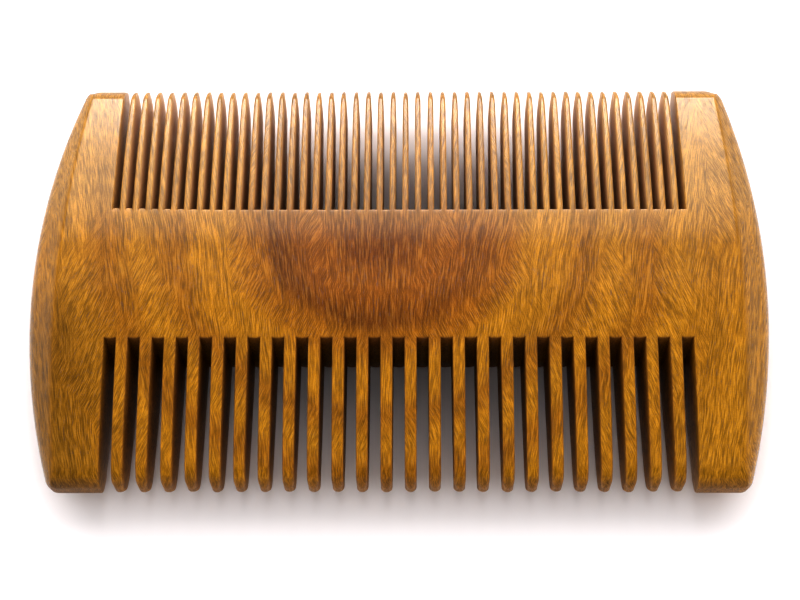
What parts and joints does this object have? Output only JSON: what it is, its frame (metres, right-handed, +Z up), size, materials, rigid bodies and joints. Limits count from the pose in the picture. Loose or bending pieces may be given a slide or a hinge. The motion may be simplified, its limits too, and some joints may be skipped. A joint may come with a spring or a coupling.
{
  "type": "beard comb",
  "caption": "Double-sided wooden beard comb: a row of fine teeth and a row of coarse teeth on one spine, between two bowed end guards.",
  "frame": {"origin": "on the surface the comb lies on, under the middle of its length and width", "axes": "+X along the comb from the left guard to the right guard, +Y from the coarse teeth to the fine teeth, +Z up out of the front face; the comb lies on its back"},
  "size_m": [0.105, 0.0616, 0.0127],
  "materials": {
    "wood": "satin, hand-sanded, lightly oiled"
  },
  "bodies": {
    "root": {"spine": "wood", "left_guard": "wood", "right_guard": "wood", "coarse_tooth_01": "wood", "coarse_tooth_02": "wood", "coarse_tooth_03": "wood", "coarse_tooth_04": "wood", "coarse_tooth_05": "wood", "coarse_tooth_06": "wood", "coarse_tooth_07": "wood", "coarse_tooth_08": "wood", "coarse_tooth_09": "wood", "coarse_tooth_10": "wood", "coarse_tooth_11": "wood", "coarse_tooth_12": "wood", "coarse_tooth_13": "wood", "coarse_tooth_14": "wood", "coarse_tooth_15": "wood", "coarse_tooth_16": "wood", "coarse_tooth_17": "wood", "coarse_tooth_18": "wood", "coarse_tooth_19": "wood", "coarse_tooth_20": "wood", "coarse_tooth_21": "wood", "coarse_tooth_22": "wood", "coarse_tooth_23": "wood", "coarse_tooth_24": "wood", "fine_teeth_01_02": "wood", "fine_teeth_03_04": "wood", "fine_teeth_05_06": "wood", "fine_teeth_07_08": "wood", "fine_teeth_09_10": "wood", "fine_teeth_11_12": "wood", "fine_teeth_13_14": "wood", "fine_teeth_15_16": "wood", "fine_teeth_17_18": "wood", "fine_teeth_19_20": "wood", "fine_teeth_21_22": "wood", "fine_teeth_23_24": "wood", "fine_teeth_25_26": "wood", "fine_teeth_27_28": "wood", "fine_teeth_29_30": "wood", "fine_teeth_31_32": "wood", "fine_teeth_33_34": "wood", "fine_teeth_35_36": "wood", "fine_teeth_37_38": "wood", "fine_teeth_39_40": "wood", "fine_teeth_41_42": "wood", "fine_teeth_43_44": "wood"}
  },
  "joints": []
}
